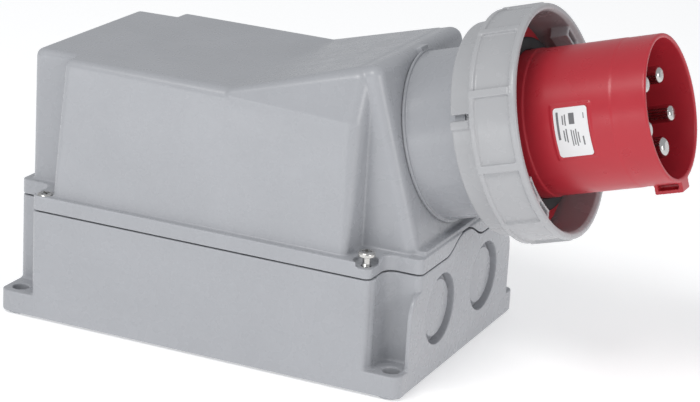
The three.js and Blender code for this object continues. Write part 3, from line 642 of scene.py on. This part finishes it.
def make_cover():
    plate_low = SEAM + SEAM_GAP
    face_foot = neck_face_x(FLANGE_TOP)
    plate = prism(wall_plan(), plate_low, FLANGE_TOP)
    sill_end = HALF_LENGTH - 1
    sill = prism(rounded([
        (face_foot - SILL["run"], -SILL["half"], 0), (sill_end, -SILL["half"], 3),
        (sill_end, SILL["half"], 3), (face_foot - SILL["run"], SILL["half"], 0),
    ]), FLANGE_TOP - 1, FLANGE_TOP + SILL["height"] - 1.5)
    half = MARKER["half"]
    marker = block((-MARKER["top"], -half, NECK_FACE - MARKER["depth"]),
                   (-MARKER["inner"], half, NECK_FACE + MARKER["proud"]))
    placed(marker, INLET_TO_BOX)
    outer = join(cover_form(0), plate, sill, marker)
    below = block((-2 * HALF_LENGTH, -2 * HALF_WIDTH, -1), (2 * HALF_LENGTH, 2 * HALF_WIDTH, plate_low))
    mouth = prism(seal_plan(5), plate_low - 1, FLANGE_TOP - WALL)
    notch_start = HALF_LENGTH - HUMP["thickness"] - SEAM_GAP
    notch = along_x(hump_profile(SEAM_GAP), notch_start, HALF_LENGTH + 1)
    bore = post(2 * (COLLAR["spigot"] + GAP), NECK_FACE - 20, NECK_FACE + 20, sides=128)
    placed(bore, INLET_TO_BOX)
    wells = []
    for x, y in SCREW_PLACES:
        pocket = SCREW_SEAT["pocket"] if x > 0 else SCREW["head"] + 4 * GAP
        wells.append(post(pocket, SCREW_SEAT["height"], 2 * ROOF["height"], x, y))
        wells.append(post(SCREW["shank"] + 2 * GAP, plate_low - 1, SCREW_SEAT["height"] + 1, x, y))
    cut(outer, below, cover_form(WALL), mouth, notch, bore, *wells)
    body = moulded(placed(outer, IN_BOX), MOULD_CELL, 2)
    piece("cover_moulding", body, "cover", "housing_grey", "cover")


def make_cover_screw(name, node, place, lift, body, turn):
    """A captive pan-head screw with a cross recess and a rolled thread."""
    head, shank = SCREW["head"] / 2, SCREW["shank"] / 2
    top, bottom = SCREW["head_height"], -SCREW["length"]
    pitch, ridges = THREAD["pitch"], THREAD["ridges"]
    root, first = shank - THREAD["depth"], bottom + THREAD["lead"]
    thread = []
    for k in range(ridges):
        low = first + k * pitch
        thread += [(root, low), (shank, low + pitch / 2)]
    cap = rounded([(head, GAP, 0.4), (head, top, 2.6), (0, top, 0)], steps=10)
    end = [(root, first + ridges * pitch), (root, GAP)]
    solid = lathe([(0, bottom), (shank - 0.8, bottom)] + thread + end + cap, 72)
    reach, half = head * CROSS["share"], CROSS["half_width"]
    arms = []
    for angle in (turn, turn + math.pi / 2):
        arm = block((-reach, -half, top - CROSS["depth"]), (reach, half, top + 1))
        arms.append(placed(arm, Matrix.Rotation(angle, 4, "Z")))
    cut(solid, join(*arms))
    placed(solid, IN_BOX @ Matrix.Translation((*place, SCREW_SEAT["height"] + lift)))
    piece(name, solid, body, "screw_steel", node, crease=30)


def make_cover_screws():
    for k, place in enumerate(SCREW_PLACES):
        lift = 0 if k else SCREW["raised"]
        number = str(k + 1)
        make_cover_screw("cover_screw_turned_" + number, "cover_screw_" + number, place, lift,
                         "screw_" + number, 0.4 + 0.7 * k)


make_cover()
make_cover_screws()

# ---------------------------------------------------------------- inlet collar, ring and shroud

NOSE = {"radius": 56.8, "step": 58.6, "step_end": -33.3, "end": -29.2}
RING = {"radius": 65.6, "rib": 67.5, "ribs": 10, "rib_width": 4.4, "rib_turn": -100,
        "lip": 66.8, "lip_length": 4, "band_inset": 0.6, "band_length": 3}
RING_BORE = {"front": 62.2, "mouth": 63.6, "shoulder": 57.2, "rear": 59, "shoulder_start": -33}
RING_REAR = {"radius": 61.3, "start": -41, "end": -27.5, "slot": 3, "slot_turn": -108.5, "slot_end": -30}
RING_PAD = {"rise": 1.1, "gap": 2.6, "span": 4.4}
RAMP = {"inner": 55.6, "wall": 1.6, "span": 30, "turn": -56, "front": -2.5, "length": 11}
SHROUD = {"radius": 41.5, "wall": 2.7, "mouth": 64.7, "flange": 60, "back": -28.9, "front": -23,
          "step": 44.4, "step_rise": 0.2, "fillet": -6.4, "fillet_rise": 0.7}
PIN_FLOOR = {"front": -2, "back": -10}
KEY = {"start": 48.4, "radius": 46.6, "width": 12, "wall": 2.2, "web": 2.4}
GASKET = {"inner": 42.4, "outer": 49.5, "front": -14}
LABEL = {"start": 11.5, "length": 19.6, "turn": -91.5, "span": 38, "thickness": 0.4, "frame": 1.6,
         "corner": 1.8, "film": 0.3, "strip": 1.2}
PINS = {"count": 5, "circle": 21.3, "phase": 10, "earth": 12, "tip": 57.9, "tip_round": 0.34, "back": -30}
PILOT = {"diameter": 6, "tip": 28}


def make_collar():
    face = NECK_FACE + GAP
    back = face - WALL - 9
    body = lathe(rounded([
        (COLLAR["bore"], back), (COLLAR["spigot"], back), (COLLAR["spigot"], face, 0),
        (COLLAR["rim"], face, 0.3), (COLLAR["rim"], face + COLLAR["rim_length"], 0.6),
        (COLLAR["radius"], face + COLLAR["rim_length"], 0.6),
        (COLLAR["radius"], COLLAR["flare"], 3), (NOSE["step"], COLLAR["flare"] + 2, 1.5),
        (NOSE["step"], NOSE["step_end"]), (NOSE["radius"], NOSE["step_end"]),
        (NOSE["radius"], NOSE["end"]), (COLLAR["bore"], NOSE["end"]),
    ], 0.4, 5), 200)
    piece("inlet_collar_moulding", placed(body, IN_INLET), "cover", "housing_grey", "inlet_collar")


def bayonet_ramp(turn):
    """An inner ramp: an arc with two pockets in its front face."""
    front, back = RAMP["front"], RAMP["front"] - RAMP["length"]
    body = arc_block(RAMP["inner"], RING_BORE["front"] + 0.8, back, front, turn, RAMP["span"], 24)
    pockets = [
        arc_block(RAMP["inner"] + RAMP["wall"], RING_BORE["front"] - 1, back + 2, front + 1,
                  turn + side * RAMP["span"] / 4, RAMP["span"] / 2 - 4)
        for side in (-1, 1)
    ]
    return cut(body, *pockets)


def make_ring():
    size, bore, rear = RING, RING_BORE, RING_REAR
    body = lathe(rounded([
        (bore["rear"], rear["start"]), (rear["radius"], rear["start"], 1),
        (rear["radius"], rear["end"], 0.8),
        (size["radius"], rear["end"], 1), (size["radius"], -size["lip_length"], 0),
        (size["lip"], -size["lip_length"], 0.6), (size["lip"], 0, 1.6),
        (bore["mouth"], 0, 0.6), (bore["front"], -2, 0.5), (bore["front"], SHROUD["back"] - GAP),
        (bore["shoulder"], SHROUD["back"] - GAP), (bore["shoulder"], bore["shoulder_start"]),
        (bore["rear"], bore["shoulder_start"]),
    ], 0.3), 240)
    rib_angle = math.degrees(size["rib_width"] / size["radius"])
    ribs = [
        arc_block(size["radius"] - 1, size["rib"], rear["end"], -size["lip_length"] + 0.5,
                  size["rib_turn"] + (k + 0.5) * 360 / size["ribs"], rib_angle, 4)
        for k in range(size["ribs"])
    ]
    band_radius, band_end = size["rib"] - size["band_inset"], rear["end"] + size["band_length"]
    band = lathe([
        (size["radius"] - 1, rear["end"]), (band_radius, rear["end"]),
        (band_radius, band_end), (size["radius"] - 1, band_end),
    ], 240)
    slot = arc_block(bore["rear"] - 1, rear["radius"] + 1, rear["start"] - 1, rear["slot_end"],
                     rear["slot_turn"], rear["slot"])
    below_slot = rear["slot_turn"] + rear["slot"] / 2 + RING_PAD["gap"]
    pad = arc_block(rear["radius"] - 1, rear["radius"] + RING_PAD["rise"], rear["start"],
                    rear["slot_end"], below_slot, RING_PAD["span"])
    ramps = [bayonet_ramp(RAMP["turn"] + half) for half in (0, 180)]
    cut(join(body, band, pad, *ribs, *ramps), slot)
    body = moulded(placed(body, IN_INLET), FINE_CELL, 3)
    piece("bayonet_ring_moulding", body, "ring", "ring_grey", "bayonet_ring")


def pin_places():
    """Each pin's (x, y, diameter): the earth pin first at the bottom, the pilot last in the middle."""
    places = []
    for k in range(PINS["count"]):
        turn = 2 * math.pi * k / PINS["count"]
        diameter = PINS["phase"] if k else PINS["earth"]
        places.append((PINS["circle"] * math.cos(turn), PINS["circle"] * math.sin(turn), diameter))
    return places + [(0, 0, PILOT["diameter"])]


def make_shroud():
    size = SHROUD
    outer, inner = size["radius"], size["radius"] - size["wall"]
    stepped, foot = outer + size["step_rise"], outer + size["fillet_rise"]
    body = lathe(rounded([
        (inner, size["mouth"], 0.8), (outer, size["mouth"], 0.7), (outer, size["step"] + 0.3, 0),
        (stepped, size["step"], 0), (stepped, size["fillet"] + 0.4, 0), (foot, size["fillet"], 0.3),
        (foot, size["front"] + 4, 2), (outer + 0.6, size["front"] + 1, 1), (outer + 0.6, size["front"]),
        (size["flange"], size["front"]), (size["flange"], size["back"]), (inner, size["back"]),
    ], 0.3), 220)
    half = KEY["width"] / 2
    rail = block((outer - 1.5, -half, KEY["start"]), (KEY["radius"], half, size["mouth"]))
    inside = KEY["radius"] - KEY["wall"]
    pockets = [
        block((outer - 0.2, KEY["web"] / 2, KEY["start"] + KEY["wall"]),
              (inside, KEY["width"], size["mouth"] - KEY["wall"])),
        block((outer - 0.2, -KEY["width"], KEY["start"] + KEY["wall"]),
              (inside, -KEY["web"] / 2, size["mouth"] - KEY["wall"])),
    ]
    cut(rail, *pockets)
    start, end = LABEL["start"], LABEL["start"] + LABEL["length"]
    edge = arc_block(outer - 0.5, outer + LABEL["thickness"] + 0.2,
                     start - LABEL["frame"], end + LABEL["frame"], LABEL["turn"], LABEL["span"] + 4, 24)
    seat = arc_block(outer + GAP / 3, outer + 3, start - GAP, end + GAP,
                     LABEL["turn"], LABEL["span"] + 0.8, 24)
    hollow = post(2 * (inner + 1), size["back"], size["mouth"] + 1, sides=160)
    skirt = cut(join(rail, edge), hollow)
    cut(join(body, skirt), seat)
    body = moulded(placed(body, IN_INLET), FINE_CELL, 2)
    piece("inlet_shroud_moulding", body, "cover", "inlet_red", "inlet_shroud")


def make_pin_floor():
    rim = SHROUD["radius"] - SHROUD["wall"] - GAP
    front, back = PIN_FLOOR["front"], PIN_FLOOR["back"]
    plate = lathe(rounded([(0, back, 0), (rim, back), (rim, front, 0.8), (0, front, 0)], 0.3), 160)
    holes = [post(size + 2 * GAP, back - 1, front + 1, x, y) for x, y, size in pin_places()]
    piece("pin_floor_plate", placed(cut(plate, *holes), IN_INLET), "cover", "inlet_red", "pin_floor")


def make_gasket():
    back = SHROUD["front"] + GAP
    body = lathe(rounded([
        (GASKET["inner"], back), (GASKET["outer"], back), (GASKET["outer"], GASKET["front"], 1.8),
        (GASKET["inner"], GASKET["front"]),
    ], 0.4), 180)
    reliefs = [
        arc_block(GASKET["outer"] - 3, GASKET["outer"] + 1, back - 1, GASKET["front"] + 1, turn, 9)
        for turn in (20, 110, 200, 290)
    ]
    cut(body, *reliefs)
    piece("shroud_gasket_ring", placed(body, IN_INLET), "cover", "gasket_black", "shroud_gasket")


def label_arc(along, turn, lift):
    """A point on the label, from its place along the shroud and its turn round it, in degrees."""
    radius = SHROUD["radius"] + GAP + lift
    angle = math.radians(turn)
    return (radius * math.cos(angle), radius * math.sin(angle), along)


def label_patch(middle_along, middle_turn, length, width, corner, low, high):
    """A rounded patch of film bent round the shroud. Its width runs round the shroud."""
    degrees = math.degrees(1 / SHROUD["radius"])
    half_length, half_width = length / 2, width / 2
    outline = rounded([
        (-half_length, -half_width), (half_length, -half_width),
        (half_length, half_width), (-half_length, half_width),
    ], corner, 8)
    fine = []
    for k, point in enumerate(outline):
        after = outline[(k + 1) % len(outline)]
        parts = max(1, int((Vector(after) - Vector(point)).length / LABEL["strip"]))
        fine += [Vector(point).lerp(Vector(after), part / parts) for part in range(parts)]
    return bent_sheet(fine, middle_along, middle_turn, degrees, low, high)


def bent_sheet(outline, middle_along, middle_turn, degrees, low, high):
    """A thin solid over an outline of (along, round) points, in strips across its width."""
    bm = bmesh.new()
    under, over = (
        [bm.verts.new((point[0], point[1], lift)) for point in outline] for lift in (low, high)
    )
    bm.faces.new(under[::-1])
    bm.faces.new(over)
    for k in range(len(outline)):
        after = (k + 1) % len(outline)
        bm.faces.new((under[k], under[after], over[after], over[k]))
    widest = max(abs(point[1]) for point in outline)
    strip = LABEL["strip"]
    cuts = int(widest / strip)
    for k in range(-cuts, cuts + 1):
        geometry = bm.verts[:] + bm.edges[:] + bm.faces[:]
        bmesh.ops.bisect_plane(bm, geom=geometry, plane_co=(0, k * strip, 0), plane_no=(0, 1, 0))
    for vert in bm.verts:
        along, across, lift = vert.co
        vert.co = label_arc(middle_along + along, middle_turn + across * degrees, lift)
    return closed(bm)


BAR = {"corner": 0.12, "low": 0.28, "high": 0.34}

# The label's printing, as generic bars: place along and round the label from its middle, then size.
LABEL_BARS = (
    (-7.6, -4.0, 1.3, 15.0), (-4.6, 1.5, 0.7, 6.0), (-3.2, 1.5, 0.7, 7.5), (-4.6, -7.0, 0.7, 5.0),
    (-3.2, -7.0, 0.7, 6.0), (-0.4, 3.0, 0.6, 9.0), (0.9, 3.0, 0.6, 8.0), (2.2, 3.0, 0.6, 9.5),
    (3.5, 3.0, 0.6, 6.0), (0.6, -7.5, 3.2, 6.0), (6.0, 5.0, 0.8, 5.0), (7.6, -8.5, 0.5, 3.0),
)


def make_label():
    middle = LABEL["start"] + LABEL["length"] / 2
    width = math.radians(LABEL["span"]) * SHROUD["radius"]
    film = label_patch(middle, LABEL["turn"], LABEL["length"], width, LABEL["corner"], 0, LABEL["film"])
    piece("rating_label_film", placed(film, IN_INLET), "cover", "label_white", "rating_label", crease=60)
    bars = []
    for along, across, length, bar in LABEL_BARS:
        turn = LABEL["turn"] + math.degrees(across / SHROUD["radius"])
        bars.append(label_patch(middle + along, turn, length, bar, BAR["corner"], BAR["low"], BAR["high"]))
    ink = join(*bars)
    piece("rating_label_bars", placed(ink, IN_INLET), "cover", "label_white", crease=60)
    ink.data.materials[0] = LABEL_INK


def make_pin(name, node, place, tip, rounding):
    x, y, diameter = place
    radius = diameter / 2
    body = lathe(rounded([
        (0, PINS["back"], 0), (radius, PINS["back"], 0.4), (radius, tip, rounding), (0, tip, 0),
    ], steps=12), 64)
    placed(body, IN_INLET @ Matrix.Translation((x, y, 0)))
    piece(name, body, "cover", "pin_nickel", node)


def make_pins():
    nodes = ["earth_pin", "phase_pin_1", "phase_pin_2", "phase_pin_3", "neutral_pin", "pilot_pin"]
    for node, place in zip(nodes, pin_places()):
        tip = PILOT["tip"] if node == "pilot_pin" else PINS["tip"]
        make_pin(node + "_turned", node, place, tip, place[2] * PINS["tip_round"])


make_collar()
make_ring()
make_shroud()
make_pin_floor()
make_label()
make_gasket()
make_pins()
